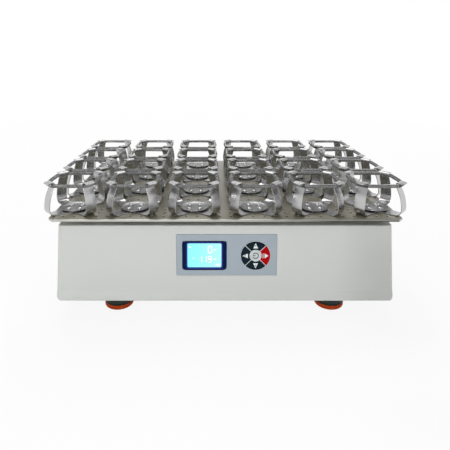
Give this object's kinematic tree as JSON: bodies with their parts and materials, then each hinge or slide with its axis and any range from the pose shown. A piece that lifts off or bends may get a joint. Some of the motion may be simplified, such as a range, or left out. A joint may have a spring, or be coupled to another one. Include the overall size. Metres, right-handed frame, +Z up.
{
  "type": "orbital shaker",
  "caption": "Benchtop orbital shaker: sprung flask clamps on a flat tray over a low housing with a front display and round keypad.",
  "frame": {"origin": "on the ground under the middle of the whole object, clamps included, with the tray at rest", "axes": "+X to the right of someone who faces the control panel, +Y from the panel to the back, +Z up"},
  "size_m": [0.5412, 0.3598, 0.2089],
  "materials": {
    "stainless_steel": "bent stainless sheet with a drawn-wire spring ring",
    "tray_grey": "satin grey-brown coated sheet",
    "housing_paint": "satin pale grey powder coat",
    "panel_grey": "smooth blue-grey fascia",
    "display_screen": "lit cyan liquid-crystal window in a navy frame",
    "key_navy": "dark membrane keys",
    "key_red": "red membrane key",
    "key_silver": "silver membrane key",
    "board_green": "circuit board",
    "foot_cup_metal": "dark satin metal",
    "foot_rubber": "orange rubber",
    "ground_steel": "ground steel",
    "cast_aluminium": "cast and machined",
    "supply_aluminium": "folded sheet",
    "dark_steel": "blackened steel",
    "belt_rubber": "ribbed belt",
    "black_plastic": "moulded black plastic"
  },
  "bodies": {
    "housing": {"base_plate": "dark_steel", "housing_shell": "housing_paint", "front_panel": "panel_grey", "display": "display_screen", "control_board": "board_green", "drive_motor": "dark_steel", "drive_belt": "belt_rubber", "main_bearing": "cast_aluminium", "idler_bearing_front_left": "cast_aluminium", "idler_bearing_front_right": "cast_aluminium", "idler_bearing_rear": "cast_aluminium", "foot_cup_front_left": "foot_cup_metal", "foot_cup_front_right": "foot_cup_metal", "foot_cup_rear_left": "foot_cup_metal", "foot_cup_rear_right": "foot_cup_metal", "foot_pad_front_left": "foot_rubber", "foot_pad_front_right": "foot_rubber", "foot_pad_rear_left": "foot_rubber", "foot_pad_rear_right": "foot_rubber", "power_inlet": "black_plastic", "power_supply": "supply_aluminium"},
    "crank": {"crank_shaft": "ground_steel", "counterweight": "dark_steel", "drive_pulley": "cast_aluminium"},
    "platform": {"carriage_plate": "cast_aluminium", "tray": "tray_grey", "flask_clamp_r1_c1": "stainless_steel", "flask_clamp_r1_c2": "stainless_steel", "flask_clamp_r1_c3": "stainless_steel", "flask_clamp_r1_c4": "stainless_steel", "flask_clamp_r1_c5": "stainless_steel", "flask_clamp_r1_c6": "stainless_steel", "flask_clamp_r2_c1": "stainless_steel", "flask_clamp_r2_c2": "stainless_steel", "flask_clamp_r2_c3": "stainless_steel", "flask_clamp_r2_c4": "stainless_steel", "flask_clamp_r2_c5": "stainless_steel", "flask_clamp_r2_c6": "stainless_steel", "flask_clamp_r3_c1": "stainless_steel", "flask_clamp_r3_c2": "stainless_steel", "flask_clamp_r3_c3": "stainless_steel", "flask_clamp_r3_c4": "stainless_steel", "flask_clamp_r3_c5": "stainless_steel", "flask_clamp_r3_c6": "stainless_steel", "flask_clamp_r4_c1": "stainless_steel", "flask_clamp_r4_c2": "stainless_steel", "flask_clamp_r4_c3": "stainless_steel", "flask_clamp_r4_c4": "stainless_steel", "flask_clamp_r4_c5": "stainless_steel", "flask_clamp_r4_c6": "stainless_steel"},
    "motor_rotor": {"motor_pulley": "cast_aluminium"},
    "idler_front_left": {"idler_crank_front_left": "ground_steel"},
    "idler_front_right": {"idler_crank_front_right": "ground_steel"},
    "idler_rear": {"idler_crank_rear": "ground_steel"},
    "key_up_cap": {"key_up": "key_navy"},
    "key_down_cap": {"key_down": "key_navy"},
    "key_left_cap": {"key_left": "key_navy"},
    "key_start_cap": {"key_start": "key_red"},
    "key_power_cap": {"key_power": "key_silver"},
    "rocker": {"rocker_switch": "black_plastic"}
  },
  "joints": [
    {"name": "crank_spin", "type": "hinge", "parent": "housing", "child": "crank", "pos_m": [0, 0.0079, 0.1259], "axis": [0, 0, 1], "continuous": true},
    {"name": "platform_turn", "type": "hinge", "parent": "crank", "child": "platform", "pos_m": [0, -0.0021, 0.1469], "axis": [0, 0, 1], "continuous": true},
    {"name": "idler_front_left_spin", "type": "hinge", "parent": "housing", "child": "idler_front_left", "pos_m": [-0.18942, -0.09663, 0.1273], "axis": [0, 0, 1], "continuous": true},
    {"name": "idler_front_right_spin", "type": "hinge", "parent": "housing", "child": "idler_front_right", "pos_m": [0.18942, -0.09663, 0.1273], "axis": [0, 0, 1], "continuous": true},
    {"name": "idler_rear_spin", "type": "hinge", "parent": "housing", "child": "idler_rear", "pos_m": [0, 0.13243, 0.1273], "axis": [0, 0, 1], "continuous": true},
    {"name": "motor_spin", "type": "hinge", "parent": "housing", "child": "motor_rotor", "pos_m": [-0.125, 0.0079, 0.0955], "axis": [0, 0, 1], "continuous": true},
    {"name": "key_up_press", "type": "slide", "parent": "housing", "child": "key_up_cap", "axis": [0, 1, 0], "range_m": [0, 0.0005], "stiffness_N_per_m": 800},
    {"name": "key_down_press", "type": "slide", "parent": "housing", "child": "key_down_cap", "axis": [0, 1, 0], "range_m": [0, 0.0005], "stiffness_N_per_m": 800},
    {"name": "key_left_press", "type": "slide", "parent": "housing", "child": "key_left_cap", "axis": [0, 1, 0], "range_m": [0, 0.0005], "stiffness_N_per_m": 800},
    {"name": "key_start_press", "type": "slide", "parent": "housing", "child": "key_start_cap", "axis": [0, 1, 0], "range_m": [0, 0.0005], "stiffness_N_per_m": 800},
    {"name": "key_power_press", "type": "slide", "parent": "housing", "child": "key_power_cap", "axis": [0, 1, 0], "range_m": [0, 0.0005], "stiffness_N_per_m": 800},
    {"name": "rocker_tilt", "type": "hinge", "parent": "housing", "child": "rocker", "pos_m": [-0.15042, 0.17593, 0.0942], "axis": [-1, 0, 0], "range_deg": [0, 14]}
  ],
  "couplings": [
    {"joint": "platform_turn", "follows": "crank_spin", "ratio": -1},
    {"joint": "idler_front_left_spin", "follows": "crank_spin", "ratio": 1},
    {"joint": "idler_front_right_spin", "follows": "crank_spin", "ratio": 1},
    {"joint": "idler_rear_spin", "follows": "crank_spin", "ratio": 1},
    {"joint": "motor_spin", "follows": "crank_spin", "ratio": 3}
  ]
}
